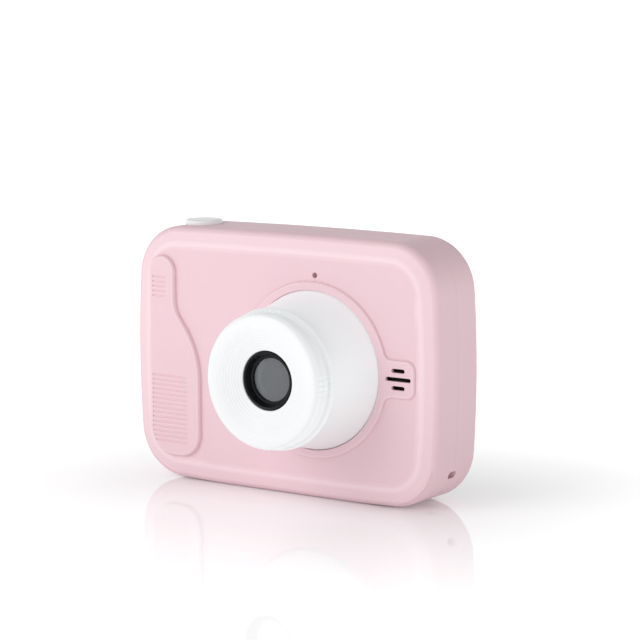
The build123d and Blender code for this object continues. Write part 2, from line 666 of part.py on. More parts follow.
def key_marks():
    """Plain symbols sunk into the caps: arrowheads, a ring, bars, a play triangle."""
    arrow = RegularPolygon(1.25, 3)
    mid = (PAD_R + PAD_INNER_R) / 2 + 0.1
    play = Rot(0, 0, 180) * RegularPolygon(1.5, 3)
    ring = Circle(1.5) - Circle(1.05)
    round_z = pad_z + ROUND_KEYS_UP
    power = (ring - Pos(0, 1.2) * Rectangle(1.1, 1.2)) + Pos(0, 1.15) * Rectangle(0.42, 1.5)
    bars = Sketch() + [Pos(0, row * 0.95) * Rectangle(2.6, 0.42) for row in (-1, 0, 1)]
    return {
        "up_key": Pos(pad_x, pad_z + mid) * Rot(0, 0, 90) * arrow,
        "down_key": Pos(pad_x, pad_z - mid) * Rot(0, 0, -90) * arrow,
        "left_key": Pos(pad_x + mid, pad_z) * arrow,
        "right_key": Pos(pad_x - mid, pad_z) * Rot(0, 0, 180) * arrow,
        "ok_key": Pos(pad_x, pad_z) * ring,
        "mode_key": Pos(pad_x - ROUND_KEYS_SPREAD, round_z) * bars,
        "album_key": Pos(pad_x + ROUND_KEYS_SPREAD, round_z) * play,
        "power_key": Pos(pad_x, pad_z - POWER_DOWN) * power,
    }


def key(name):
    """One key: a cap through the back wall, a flange behind it and a stem over its switch."""
    outline = key_outlines()[name]
    stem_x, stem_z = key_stems()[name]
    flange_y = back_inside - 0.05
    cap = slab(outline, flange_y - KEY_FLANGE_T, BODY_D + KEY_PROUD)
    cap = fillet(cap.edges().group_by(Axis.Y)[-1], KEY_EDGE_R)
    flange = slab(offset(outline, amount=KEY_FLANGE), flange_y - KEY_FLANGE_T, flange_y)
    stem = rod(stem_x, stem_z, STEM_R, plunger_y + KEY_TRAVEL + FIT, flange_y)
    mark = slab(key_marks()[name], BODY_D + KEY_PROUD - MARK_DEEP, BODY_D + KEY_PROUD)
    return cap + flange + stem - mark


def key_switches():
    """Eight identical push switches on the back of the main board."""
    solids = []
    for x, z in key_stems().values():
        body = block(x - SWITCH / 2, x + SWITCH / 2, board_back, board_back + SWITCH_T,
                     z - SWITCH / 2, z + SWITCH / 2)
        solids.append(body + rod(x, z, PLUNGER_R, board_back + SWITCH_T, plunger_y))
    return solids


# ---- Shutter button --------------------------------------------------------------------------------
def shutter_heights():
    """Top of the button, top of its flange, and the switch's plunger below."""
    skin = BODY_H - TOP_BULGE
    flange = skin - SHUTTER_FLANGE_DROP
    return skin + SHUTTER_PROUD, flange, flange - SHUTTER_PLUNGER_DROP


def shutter_button():
    """Round white button with a slightly domed top, held by a flange under the case's top."""
    top, flange, plunger = shutter_heights()
    flange_low = flange - SHUTTER_FLANGE_T
    cap = post(shutter_x, seam_y, SHUTTER_R, flange_low, top)
    cap = fillet(cap.edges().group_by(Axis.Z)[-1], SHUTTER_EDGE_R)
    rim = post(shutter_x, seam_y, SHUTTER_R + SHUTTER_FLANGE, flange_low, flange - FIT)
    stem = post(shutter_x, seam_y, STEM_R, plunger + SHUTTER_TRAVEL + FIT, flange - FIT)
    return cap + rim + stem


def shutter_switch():
    """Upright push switch at the board's upper edge, under the button."""
    plunger = shutter_heights()[2]
    low = plunger - 4.6
    body = block(shutter_x - 3.2, shutter_x + 3.2, seam_y - 1.8, board_y, low, plunger - PLUNGER_L)
    return body + post(shutter_x, seam_y - 0.5, 0.8, plunger - PLUNGER_L, plunger)


# ---- Lens ------------------------------------------------------------------------------------------
def lens_barrel():
    """White tapered barrel, open inside, with a flange against the case and three screw bosses."""
    slope = (BARREL_R - BARREL_TIP_R) / BARREL_L
    inner = BARREL_WALL
    spigot_r = ring_spigot_r + FIT
    solid = turned_points(
        (BARREL_SEAT_R, 0), (BARREL_R, 0), (BARREL_TIP_R, -BARREL_L), (spigot_r, -BARREL_L),
        (spigot_r, -BARREL_L + inner), (BARREL_TIP_R + slope * inner - inner, -BARREL_L + inner + 0.4),
        (BARREL_R - slope * inner - inner, -inner), (BARREL_SEAT_R, -inner),
    )
    for x, z in barrel_screw_places():
        solid += rod(x, z, BARREL_BOSS_R, -BARREL_BOSS_L, -inner / 2)
    for x, z in barrel_screw_places():
        solid -= rod(x, z, SCREW_R + 0.02, 0.6 - BARREL_BOSS_L, 0)
    return solid


def ring_face(r):
    """Depth of the ring's face at radius r: a plain slope that eases round into the rim."""
    if r >= ease_from_r:
        return ring_front_y + ease_r - (ease_r**2 - (rim_middle_r - r) ** 2) ** 0.5
    return ease_y + (ease_from_r - r) * face_rise


def ring_outside():
    """Half-section of the ring's outside: dished face, round rim, plain side, half-round bead."""
    ease_middle_r = (ease_from_r + rim_middle_r) / 2
    corner = RING_RIM_R * 0.5**0.5
    bead_y = -BARREL_L - BEAD_R
    side_r = ring_r - BEAD_R
    face = Line((ring_hole_r, ring_face_y), (ease_from_r, ease_y))
    ease = ThreePointArc((ease_from_r, ease_y), (ease_middle_r, ring_face(ease_middle_r)),
                         (rim_middle_r, ring_front_y))
    rim = ThreePointArc((rim_middle_r, ring_front_y),
                        (rim_middle_r + corner, ring_front_y + RING_RIM_R - corner),
                        (ring_side_r, ring_front_y + RING_RIM_R))
    side = Spline((ring_side_r, ring_front_y + RING_RIM_R), (side_r, bead_y - 1.6 * BEAD_R),
                  (ring_r, bead_y), tangents=((0, 1), (0, 1)))
    bead = Spline((ring_r, bead_y), (BARREL_TIP_R, -BARREL_L - FIT), tangents=((0, 1), (-1, 0.4)))
    return [face, ease, rim, side, bead]


def lens_ring():
    """White ring on the barrel's tip: fine grooves on its face, short notches on its side."""
    back_y = -BARREL_L
    inner_r = ring_spigot_r - RING_SPIGOT_T
    shelf_r = ring_hole_r + 1.6
    shelf_y = ring_face_y + 2.0
    hole_end_y = shelf_y + 1.6
    inside = Polyline(
        (BARREL_TIP_R, back_y - FIT), (BARREL_TIP_R - FIT, back_y), (ring_spigot_r, back_y),
        (ring_spigot_r, back_y + RING_SPIGOT_L), (inner_r, back_y + RING_SPIGOT_L), (inner_r, shelf_y),
        (shelf_r, shelf_y), (shelf_r, hole_end_y), (ring_hole_r, hole_end_y), (ring_hole_r, ring_face_y),
    )
    solid = turned(make_face(ring_outside() + inside.edges()))
    for row in range(groove_count):
        r = groove_in_r + row * FACE_GROOVE_PITCH
        half = FACE_GROOVE_PITCH * 0.4
        solid -= turned_points(
            (r - half, ring_face(r - half)), (r - half, ring_front_y - 1), (r + half, ring_front_y - 1),
            (r + half, ring_face(r + half)), (r, ring_face(r) + FACE_GROOVE_DEEP),
        )
    return solid - ring_notches()


def ring_notches():
    """Groups of short notches at the top, bottom and both sides of the ring."""
    middle_y = ring_front_y + RING_RIM_R / 2 + NOTCH_L / 2
    cuts = []
    for quarter in range(4):
        for row in range(NOTCH_COUNT):
            angle = 90 * quarter + (row - (NOTCH_COUNT - 1) / 2) * NOTCH_PITCH
            tool = Box(2 * NOTCH_DEEP, NOTCH_L, NOTCH_W)
            tool = fillet(tool.edges().filter_by(Axis.Y), NOTCH_DEEP * 0.7)
            turn = Pos(LENS_X, 0, lens_z) * Rot(0, angle, 0)
            cuts.append(turn * Pos(ring_side_r, middle_y, 0) * tool)
    return cuts


def lens_bezel():
    """Black stepped ring round the glass, pushed into the lens ring's hole."""
    outer_r = ring_hole_r - FIT
    front, glass = bezel_front_y, glass_front_y
    back = front + BEZEL_L
    return turned_points(
        (outer_r - 0.35, front), (outer_r, front + 0.35), (outer_r, back), (GLASS_R + FIT, back),
        (GLASS_R + FIT, glass), (bezel_throat_r, glass), (bezel_throat_r + 0.15, glass - 0.5),
        (bezel_throat_r + 0.75, glass - 0.6), (bezel_throat_r + 0.9, glass - 1.2),
        (outer_r - 0.75, front + 0.15),
    )


def lens_glass():
    """Clear window over the camera's own lens."""
    disc = rod(LENS_X, lens_z, GLASS_R, glass_front_y, glass_back_y)
    return chamfer(disc.edges().group_by(Axis.Y)[0], 0.2)


def camera_lens():
    """Threaded lens of the camera module."""
    body = rod(LENS_X, lens_z, CAM_LENS_R, cam_lens_y, cam_holder_y)
    return body - rod(LENS_X, lens_z, CAM_LENS_R - 1.6, cam_lens_y, cam_lens_y + 0.8)


def camera_holder():
    """Square block that holds the lens over the sensor."""
    square = Pos(LENS_X, lens_z) * RectangleRounded(CAM_HOLDER, CAM_HOLDER, 1)
    return slab(square, cam_holder_y, cam_board_y)


def camera_board():
    """Small board with the image sensor."""
    square = Pos(LENS_X, lens_z) * RectangleRounded(CAM_BOARD, CAM_BOARD, 1)
    return slab(square, cam_board_y, cam_board_back_y)


def module_bracket():
    """Black bracket on the barrel's flange that carries the camera board."""
    plate = rod(LENS_X, lens_z, BRACKET_R, bracket_back_y - BRACKET_T, bracket_back_y)
    tube = rod(LENS_X, lens_z, BRACKET_TUBE_R, cam_board_back_y, bracket_back_y)
    inside = rod(LENS_X, lens_z, BRACKET_TUBE_R - BRACKET_TUBE_T, cam_board_back_y, bracket_back_y)
    return plate + tube - inside


def camera_cable():
    """Flat cable from the camera board straight back to the main board."""
    return block(LENS_X - CABLE_W / 2, LENS_X + CABLE_W / 2, cam_board_back_y, board_y - CHIP_T,
                 lens_z - CABLE_T / 2, lens_z + CABLE_T / 2)


def camera_connector():
    """Connector for the camera's flat cable."""
    return block(LENS_X - CABLE_W / 2 - 1, LENS_X + CABLE_W / 2 + 1, board_y - CHIP_T, board_y,
                 lens_z - 2.5, lens_z + 2.5)


# ---- Board, display and other electronics ----------------------------------------------------------
def main_board():
    """The main circuit board, with a tab out to the sockets on the left."""
    left = -half_w + WALL + BOARD_GAP + 4.3
    right = half_w - EYE_IN - EYE_H / 2 - EYE_BLOCK - 0.5
    low, top = WALL + BOARD_GAP + 3.8, BODY_H - WALL - BOARD_GAP - 1.8
    outline = RectangleRounded(right - left, top - low, 1.5)
    sheet = Pos((left + right) / 2, (low + top) / 2) * outline
    heights = socket_places()
    tab_low, tab_top = heights["card"] - CARD_W / 2, heights["usb"] + USB_W / 2
    tab_left = -half_w + WALL + 2.6
    tab_right = left + 2
    outline = Rectangle(tab_right - tab_left, tab_top - tab_low)
    tab = Pos((tab_left + tab_right) / 2, (tab_low + tab_top) / 2) * outline
    solid = slab(sheet + tab, board_y, board_back)
    for x, z in board_screw_places():
        solid -= rod(x, z, SCREW_R + FIT, board_y, board_back)
    return solid


def processor():
    """Main chip on the front of the board."""
    x = pad_x + PAD_R + CHIP_BY_KEYS
    return block(x, x + CHIP, board_y - CHIP_T, board_y, CHIP_LOW, CHIP_LOW + CHIP)


def display_panel():
    """Two-inch colour panel in its frame, behind the screen window."""
    frame = Pos(screen_x, screen_z) * Rectangle(PANEL_W, PANEL_H)
    return slab(frame, back_inside - 0.1 - PANEL_T, back_inside - 0.1)


def display_connector():
    """Connector for the display's flat cable."""
    z = screen_z - PANEL_H / 2 + 4
    return block(screen_x - 8, screen_x + 8, board_back, board_back + 1, z - 2, z + 2)


def display_cable():
    """Flat cable from the display to its connector."""
    z = screen_z - PANEL_H / 2 + 4
    return block(screen_x - 7, screen_x + 7, board_back + 1, back_inside - 0.1 - PANEL_T,
                 z - CABLE_T / 2, z + CABLE_T / 2)


def screen_window():
    """Clear window with rounded corners, flush with the back."""
    pane = slab(Pos(screen_x, screen_z) * RectangleRounded(SCREEN_W, SCREEN_H, SCREEN_R - FIT),
                BODY_D - SCREEN_T, BODY_D)
    return chamfer(pane.edges().group_by(Axis.Y)[-1], 0.25)


def selfie_window():
    """Small clear disc over the second camera."""
    disc = rod(screen_x, screen_z + SELFIE_UP, SELFIE_R, BODY_D - 0.8, BODY_D)
    return chamfer(disc.edges().group_by(Axis.Y)[-1], 0.15)


def selfie_camera():
    """Second camera module, standing on the main board."""
    z = screen_z + SELFIE_UP
    half = SELFIE_BOX / 2
    box = block(screen_x - half, screen_x + half, board_back, back_inside - 1.2, z - half, z + half)
    return box + rod(screen_x, z, SELFIE_VIEW_R + 0.8, back_inside - 1.2, back_inside - 0.1)


def status_light():
    """Clear pin that carries the light of the diode to the back."""
    x, z = pad_x + LIGHT_SIDE, pad_z - POWER_DOWN
    return rod(x, z, LIGHT_R, board_back + 0.8, BODY_D + 0.1)


def status_led():
    """Light-emitting diode under the clear pin."""
    x, z = pad_x + LIGHT_SIDE, pad_z - POWER_DOWN
    return block(x - 0.8, x + 0.8, board_back, board_back + 0.6, z - 0.4, z + 0.4)


def socket_front():
    """Sockets end just inside the thickened wall."""
    return -half_w + PORT_T + PORT_FLOOR + 0.7


def usb_socket():
    """USB-C socket lying on the back of the board."""
    x, z = socket_front(), socket_places()["usb"]
    y = board_back + USB_T / 2
    shell = block(x, x + USB_L, board_back, board_back + USB_T, z - USB_W / 2, z + USB_W / 2)
    shell = fillet(shell.edges().filter_by(Axis.X), USB_T / 2 - 0.1)
    mouth = block(x, x + 5.5, y - USB_SLOT_H / 2, y + USB_SLOT_H / 2,
                  z - USB_SLOT_W / 2, z + USB_SLOT_W / 2)
    mouth = fillet(mouth.edges().filter_by(Axis.X), USB_SLOT_H / 2 - 0.1)
    tongue = block(x + 0.8, x + 6, y - 0.35, y + 0.35, z - 3.3, z + 3.3)
    return shell - mouth + tongue


def card_socket():
    """Memory card socket lying on the back of the board."""
    x, z = socket_front(), socket_places()["card"]
    y = board_back + CARD_T / 2
    shell = block(x, x + CARD_L, board_back, board_back + CARD_T, z - CARD_W / 2, z + CARD_W / 2)
    mouth = block(x, x + CARD_L - 1, y - 0.45, y + 0.45, z - CARD_W / 2 + 0.4, z + CARD_W / 2 - 0.4)
    return shell - mouth


def battery():
    """Flat lithium cell on the inside of the front wall, behind the grip."""
    x = -half_w + BATTERY_FROM_SIDE
    y = WALL + PAD_T
    cell = block(x, x + BATTERY_W, y, y + BATTERY_T, BATTERY_Z, BATTERY_Z + BATTERY_H)
    return fillet(cell.edges().filter_by(Axis.Z), 1.5)


def battery_pad():
    """Sticky foam that holds the cell to the wall."""
    x = -half_w + BATTERY_FROM_SIDE + 4
    return block(x, x + BATTERY_W - 8, WALL, WALL + PAD_T, BATTERY_Z + 4, BATTERY_Z + BATTERY_H - 4)


def battery_leads():
    """Two short wires from the cell back to the board."""
    x = -half_w + BATTERY_FROM_SIDE + BATTERY_W - 5
    z = BATTERY_Z + BATTERY_H - 3
    y = WALL + PAD_T + BATTERY_T
    return [rod(x + step, z, LEAD_R, y, board_y) for step in (0, 2)]


def speaker():
    """Small round speaker behind the slots."""
    y = WALL + PAD_T
    drum = rod(speaker_x, lens_z, SPEAKER_R, y, y + SPEAKER_T)
    cone = rod(speaker_x, lens_z, SPEAKER_R - GASKET_W, y, y + 0.5)
    magnet = rod(speaker_x, lens_z, SPEAKER_R - 2.6, y + SPEAKER_T, y + SPEAKER_T + 0.8)
    return drum - cone + magnet


def speaker_gasket():
    """Foam ring between the speaker and the front wall."""
    ring = Pos(speaker_x, lens_z) * (Circle(SPEAKER_R) - Circle(SPEAKER_R - GASKET_W))
    return slab(ring, WALL, WALL + PAD_T)


def speaker_leads():
    """Two short wires from the speaker back to the board."""
    y = WALL + PAD_T + SPEAKER_T
    x = speaker_x - SPEAKER_R + GASKET_W
    return [rod(x, lens_z + step, LEAD_R, y, board_y) for step in (-1, 1)]


def microphone():
    """Microphone capsule behind its hole above the lens."""
    return rod(mic_x, mic_z, MIC_BODY_R, WALL, WALL + MIC_BODY_T)


# ---- Screws ----------------------------------------------------------------------------------------
def case_screws():
    """Four screws from the back through the rear half into the front half."""
    head_y = BODY_D - HEAD_SINK - SCREW_HEAD_T
    length = head_y - WALL - 2
    return [screw(x, z, head_y, length) for x, z in case_screw_places()]


def board_screws():
    """Four screws through the board into the front half's posts."""
    return [screw(x, z, board_back, BOARD_SCREW_L) for x, z in board_screw_places()]


def barrel_screws():
    """Three screws through the front wall into the lens barrel."""
    return [screw(x, z, WALL, BARREL_SCREW_L) for x, z in barrel_screw_places()]


# ---- Every node ------------------------------------------------------------------------------------
def slid_home(made):
    """A finished piece, or several alike kept as one node, slid to where the camera's origin is."""
    if not isinstance(made, list):
        return Pos(0, shift_y, 0) * made
    return Compound([solid for each in made for solid in (Pos(0, shift_y, 0) * each).solids()])


nodes = {
    "front_shell": front_shell,
    "rear_shell": rear_shell,
    "lens_barrel": lens_barrel,
    "lens_ring": lens_ring,
    "lens_bezel": lens_bezel,
    "lens_glass": lens_glass,
    "camera_lens": camera_lens,
    "camera_holder": camera_holder,
    "camera_board": camera_board,
    "module_bracket": module_bracket,
    "camera_cable": camera_cable,
    "camera_connector": camera_connector,
    "shutter_button": shutter_button,
    "shutter_switch": shutter_switch,
    "key_switches": key_switches,
    "screen_window": screen_window,
    "display_panel": display_panel,
    "display_cable": display_cable,
    "display_connector": display_connector,
    "selfie_window": selfie_window,
    "selfie_camera": selfie_camera,
    "status_light": status_light,
    "status_led": status_led,
    "port_cover": port_cover,
    "usb_socket": usb_socket,
    "card_socket": card_socket,
    "main_board": main_board,
    "processor": processor,
    "battery": battery,
    "battery_pad": battery_pad,
    "battery_leads": battery_leads,
    "speaker": speaker,
    "speaker_gasket": speaker_gasket,
    "speaker_leads": speaker_leads,
    "microphone": microphone,
    "case_screws": case_screws,
    "board_screws": board_screws,
    "barrel_screws": barrel_screws,
}
for name in key_outlines():
    nodes[name] = partial(key, name)
for name, make in nodes.items():
    export_step(slid_home(make()), f"parts/{name}.step")
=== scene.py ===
import math

import bmesh
import bpy
from mathutils import Matrix, Vector


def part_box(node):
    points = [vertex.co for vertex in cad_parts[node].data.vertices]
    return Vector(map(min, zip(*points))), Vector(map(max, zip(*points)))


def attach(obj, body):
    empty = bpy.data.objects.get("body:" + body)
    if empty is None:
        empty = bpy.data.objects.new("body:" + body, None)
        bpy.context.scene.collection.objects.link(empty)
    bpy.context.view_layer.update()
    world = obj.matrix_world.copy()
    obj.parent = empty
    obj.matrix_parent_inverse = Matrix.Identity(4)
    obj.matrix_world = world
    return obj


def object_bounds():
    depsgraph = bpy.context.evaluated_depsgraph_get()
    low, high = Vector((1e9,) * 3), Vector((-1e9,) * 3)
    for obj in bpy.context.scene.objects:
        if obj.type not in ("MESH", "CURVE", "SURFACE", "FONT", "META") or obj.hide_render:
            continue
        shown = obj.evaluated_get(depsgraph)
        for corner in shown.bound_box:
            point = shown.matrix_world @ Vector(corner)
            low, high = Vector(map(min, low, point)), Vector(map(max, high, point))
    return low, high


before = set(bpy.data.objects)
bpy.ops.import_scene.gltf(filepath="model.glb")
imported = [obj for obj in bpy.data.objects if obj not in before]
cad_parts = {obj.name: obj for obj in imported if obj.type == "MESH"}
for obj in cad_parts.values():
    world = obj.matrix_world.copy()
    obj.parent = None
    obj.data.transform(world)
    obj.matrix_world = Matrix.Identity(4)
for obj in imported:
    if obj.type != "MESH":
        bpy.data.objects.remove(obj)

cad_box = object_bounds()

# ---------------------------------------------------------------------------------------------------------------
# The case halves. Two thin shells of pale pink ABS, injection moulded in a tool whose faces are finely spark
# eroded, so the skin is satin and even, with the faintest cloud in its colour. Four screws hold them together.

MM = 0.001
CASE_PINK = (0.885, 0.637, 0.695, 1.0)
CASE_PINK_DEEP = (0.872, 0.615, 0.673, 1.0)
# lighter pink painted on the front crease as a highlight
CASE_PINK_PAINTED_HIGHLIGHT = (0.975, 0.745, 0.80, 1.0)
CASE_ROUGHNESS = 0.47
CASE_GRAIN_DEPTH_MM = 0.004
DRIFT_MM = 42.0
HANDLING_MM = 9.0
GRAIN_MM = 0.34
HANDLING_GLOSS = 0.10
GRAIN_GLOSS = 0.06
CREASE_HIGHLIGHT_GLOSS = 0.06
HANDLING_IN_RELIEF = 0.8


class Tone:
    """One value in a material. Sums and products written on it add Math nodes to that material."""

    def __init__(self, tree, socket=None):
        self.tree = tree
        self.socket = socket

    def node(self, kind, settings=None, sockets=None, out=0):
        made = self.tree.nodes.new("ShaderNode" + kind)
        for key, value in (settings or {}).items():
            if key == "stops":
                ramp = made.color_ramp.elements
                while len(ramp) < len(value):
                    ramp.new(1.0)
                for stop, (place, shade) in zip(ramp, value):
                    stop.position = place
                    stop.color = shade
            else:
                setattr(made, key, value)
        for key, value in (sockets or {}).items():
            if isinstance(value, Tone):
                self.tree.links.new(value.socket, made.inputs[key])
            else:
                made.inputs[key].default_value = value
        return Tone(self.tree, made.outputs[out] if len(made.outputs) else None)

    def math(self, operation, *others):
        return self.node("Math", {"operation": operation}, dict(enumerate((self, *others))))

    def __add__(self, other):
        return self.math("ADD", other)

    def __sub__(self, other):
        return self.math("SUBTRACT", other)

    def __rsub__(self, other):
        return self.math("MULTIPLY_ADD", -1.0, other)

    def __mul__(self, other):
        return self.math("MULTIPLY", other)

    def __truediv__(self, other):
        return self.math("DIVIDE", other)

    __radd__ = __add__
    __rmul__ = __mul__


def new_material(name):
    material = bpy.data.materials.new(name)
    material.use_nodes = True
    material.node_tree.nodes.clear()
    return material, Tone(material.node_tree)


def grey(shade):
    return (shade, shade, shade, 1.0)


def along(tone, axis, which="Object"):
    """Place (or, with "Normal", slant of the surface) along one axis of the camera."""
    whole = tone.node("TexCoord", out=which)
    return tone.node("SeparateXYZ", sockets={0: whole}, out=axis)


def cloud(tone, grain_mm, detail=2.0):
    """Soft random value from 0 to 1 whose patches are about grain_mm across."""
    place = tone.node("TexCoord", out="Object")
    return tone.node("TexNoise", {}, {"Vector": place, "Scale": 1.0 / (grain_mm * MM), "Detail": detail})


def blended(tone, mask, low, high):
    """Colour that goes from low to high as mask goes from 0 to 1."""
    return tone.node("Mix", {"data_type": "RGBA"}, {0: mask, 6: low, 7: high}, out=2)


def bumped(tone, height, depth_mm, strength=1.0):
    """Relief whose full height is depth_mm."""
    return tone.node("Bump", {}, {"Height": height, "Distance": depth_mm * MM, "Strength": strength})


def finished(tone, sockets):
    shader = tone.node("BsdfPrincipled", {}, sockets)
    tone.node("OutputMaterial", {}, {"Surface": shader})


def satin_moulding(name, light, dark, roughness, grain_depth_mm, crease_highlight_colour=None, extra=None):
    """Eroded-tool plastic: a slow drift in colour, a finer one in gloss, and a tight grain on the skin.
    The third colour, when given, is a painted highlight on the soft crease round the front, made a
    little glossier there too. extra gives more sockets of the shader."""
    material, tone = new_material(name)
    drift = cloud(tone, DRIFT_MM, 3.0)
    handling = cloud(tone, HANDLING_MM, 4.0)
    grain = cloud(tone, GRAIN_MM, 2.0)
    colour = blended(tone, drift, dark, light)
    gloss = roughness + (handling - 0.5) * HANDLING_GLOSS + (grain - 0.5) * GRAIN_GLOSS
    # painted highlight on the front crease: lighter colour where the surface turns a little from facing straight
    # forward
    if crease_highlight_colour:
        facing = along(tone, "Y", "Normal") * -1.0
        crease_highlight = tone.node("ValToRGB", {"stops": CREASE_HIGHLIGHT_STOPS}, {0: facing})
        colour = blended(tone, crease_highlight, colour, crease_highlight_colour)
        gloss = gloss - crease_highlight * CREASE_HIGHLIGHT_GLOSS
    sockets = {
        "Base Color": colour,
        "Roughness": gloss,
        "Normal": bumped(tone, grain + handling * HANDLING_IN_RELIEF, grain_depth_mm),
    }
    if extra:
        sockets.update(extra(tone))
    finished(tone, sockets)
    return material


def dress(material, *names):
    """Gives a material to pieces that keep their own shape."""
    for name in names:
        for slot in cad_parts[name].material_slots:
            slot.material = material


# how far a surface faces forward, and how much painted highlight the front crease gets there
CREASE_HIGHLIGHT_STOPS = ((0.930, grey(0.0)), (0.985, grey(1.0)), (0.9975, grey(0.2)), (1.0, grey(0.0)))
case_skin = satin_moulding(
    "case_skin_pink", CASE_PINK, CASE_PINK_DEEP, CASE_ROUGHNESS, CASE_GRAIN_DEPTH_MM, CASE_PINK_PAINTED_HIGHLIGHT,
)
dress(case_skin, "front_shell", "rear_shell")

# ---------------------------------------------------------------------------------------------------------------
# The cover over the sockets. A strip of pink silicone-like rubber in the case's left side, a little duller and
# warmer than the case, held by its root, with a lip for a fingernail.

COVER_PINK = (0.88, 0.595, 0.655, 1.0)
COVER_PINK_DEEP = (0.86, 0.575, 0.635, 1.0)
cover_rubber = satin_moulding(
    "cover_rubber_pink", COVER_PINK, COVER_PINK_DEEP, roughness=0.62, grain_depth_mm=0.006,
)
dress(cover_rubber, "port_cover")

# ---------------------------------------------------------------------------------------------------------------
# The barrel and the ring on its tip, two white ABS mouldings polished finer than the case. Three screws from
# behind hold the barrel to the front half; the ring, with fine grooves in its face, is clipped to the tip.

WHITE = (0.945, 0.957, 0.965, 1.0)
WHITE_SHADE = (0.93, 0.943, 0.953, 1.0)
WHITE_ROUGHNESS = 0.36
WHITE_GRAIN_DEPTH_MM = 0.0015
# Both white mouldings glow a little as painted light: the ring on its sides, the barrel more towards its top.
PAINTED_GLOW_TINT = (0.84, 1.0, 1.0, 1.0)
RING_PAINTED_GLOW = 0.13
RING_GLOW_SLANT = (-0.85, -0.35)
BARREL_PAINTED_GLOW = 0.15
BARREL_GLOW_HEIGHT = (0.016, 0.040)


def painted_glow(strength, axis, which, span):
    """Painted light: white plastic made to glow faintly, more towards the end of the span."""
    def sockets(tone):
        amount = tone.node("MapRange", {"interpolation_type": "SMOOTHSTEP"}, {
            "Value": along(tone, axis, which), "From Min": span[0], "From Max": span[1],
            "To Min": 0.0, "To Max": 1.0,
        })
        return {"Emission Color": blended(tone, amount, grey(0.0), PAINTED_GLOW_TINT), "Emission Strength": strength}
    return sockets


ring_white = satin_moulding(
    "ring_white", WHITE, WHITE_SHADE, WHITE_ROUGHNESS, WHITE_GRAIN_DEPTH_MM,
    extra=painted_glow(RING_PAINTED_GLOW, "Y", "Normal", RING_GLOW_SLANT),
)
dress(ring_white, "lens_ring")
barrel_white = satin_moulding(
    "barrel_white", WHITE, WHITE_SHADE, WHITE_ROUGHNESS, WHITE_GRAIN_DEPTH_MM,
    extra=painted_glow(BARREL_PAINTED_GLOW, "Z", "Object", BARREL_GLOW_HEIGHT),
)
dress(barrel_white, "lens_barrel")

# ---------------------------------------------------------------------------------------------------------------
# The stepped ring inside the hole. Black ABS with fine turned lines, pressed in behind the white ring; it holds
# the window.

BLACK = (0.007, 0.008, 0.009, 1.0)
BLACK_DEEP = (0.003, 0.004, 0.004, 1.0)
BEZEL_PITCH_MM = 0.35
OPTIC_PITCH_MM = 0.5


def turned_black(name, axis_x, axis_z, pitch_mm, roughness):
    """Black moulding with fine turned rings, pitch_mm apart, round the line through axis_x, axis_z."""
    material, tone = new_material(name)
    across = along(tone, "X") - axis_x
    up = along(tone, "Z") - axis_z
    radius = (across * across + up * up).math("SQRT")
    rings = (radius * (math.tau / (pitch_mm * MM))).math("SINE")
    dust = cloud(tone, 1.6, 4.0)
    finished(tone, {
        "Base Color": blended(tone, dust, BLACK_DEEP, BLACK),
        "Roughness": roughness + (dust - 0.5) * 0.12,
        "Normal": bumped(tone, rings, 0.004, 0.5),
        "Specular IOR Level": 0.16,
    })
    return material


bezel_low, bezel_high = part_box("lens_bezel")
lens_axis = (bezel_low + bezel_high) / 2
bezel_black = turned_black("bezel_black", lens_axis.x, lens_axis.z, BEZEL_PITCH_MM, roughness=0.28)
dress(bezel_black, "lens_bezel")

# ---------------------------------------------------------------------------------------------------------------
# The window over the camera's lens. A pressed acrylic disc, smoky, with a hard coating that gives it a soft grey
# gleam, glued into the black ring.

SMOKE = (0.125, 0.135, 0.15, 1.0)
SMEAR_MM = 3.5
SMEAR_LIGHTER = 1.12
ACRYLIC_IOR = 1.49


def tinted_window(name, colour, alpha, roughness):
    """Coated clear plastic, tinted by how little light it lets through, with a faint smear on it."""
    material, tone = new_material(name)
    smear = cloud(tone, SMEAR_MM, 3.0)
    smeared = (*[part * SMEAR_LIGHTER for part in colour[:3]], 1.0)
    finished(tone, {
        "Base Color": blended(tone, smear, colour, smeared),
        "Roughness": roughness + (smear - 0.5) * 0.04,
        "Alpha": alpha + (smear - 0.5) * 0.04,
        "Normal": bumped(tone, smear, 0.002, 0.4),
        "Coat Weight": 1.0,
        "Coat Roughness": 0.03,
        "IOR": ACRYLIC_IOR,
    })
    return material


lens_window = tinted_window("lens_window_grey", SMOKE, alpha=0.72, roughness=0.12)
dress(lens_window, "lens_glass")

# ---------------------------------------------------------------------------------------------------------------
# The front camera. A threaded black lens in its holder, soldered to a small green board that hangs on a black
# bracket; an amber flat cable goes from it to a connector on the main board.

optic_black = turned_black("optic_black", lens_axis.x, lens_axis.z, OPTIC_PITCH_MM, roughness=0.4)
dress(optic_black, "camera_lens", "camera_holder")
INNER_BLACK = (0.03, 0.03, 0.034, 1.0)
INNER_BLACK_DEEP = (0.022, 0.022, 0.025, 1.0)
inner_black = satin_moulding("inner_black", INNER_BLACK, INNER_BLACK_DEEP, roughness=0.5, grain_depth_mm=0.006)
dress(inner_black, "module_bracket")

MASK_GREEN = (0.012, 0.085, 0.035, 1.0)
TRACK_GREEN = (0.03, 0.20, 0.08, 1.0)
TRACKS_PER_METRE = 420.0


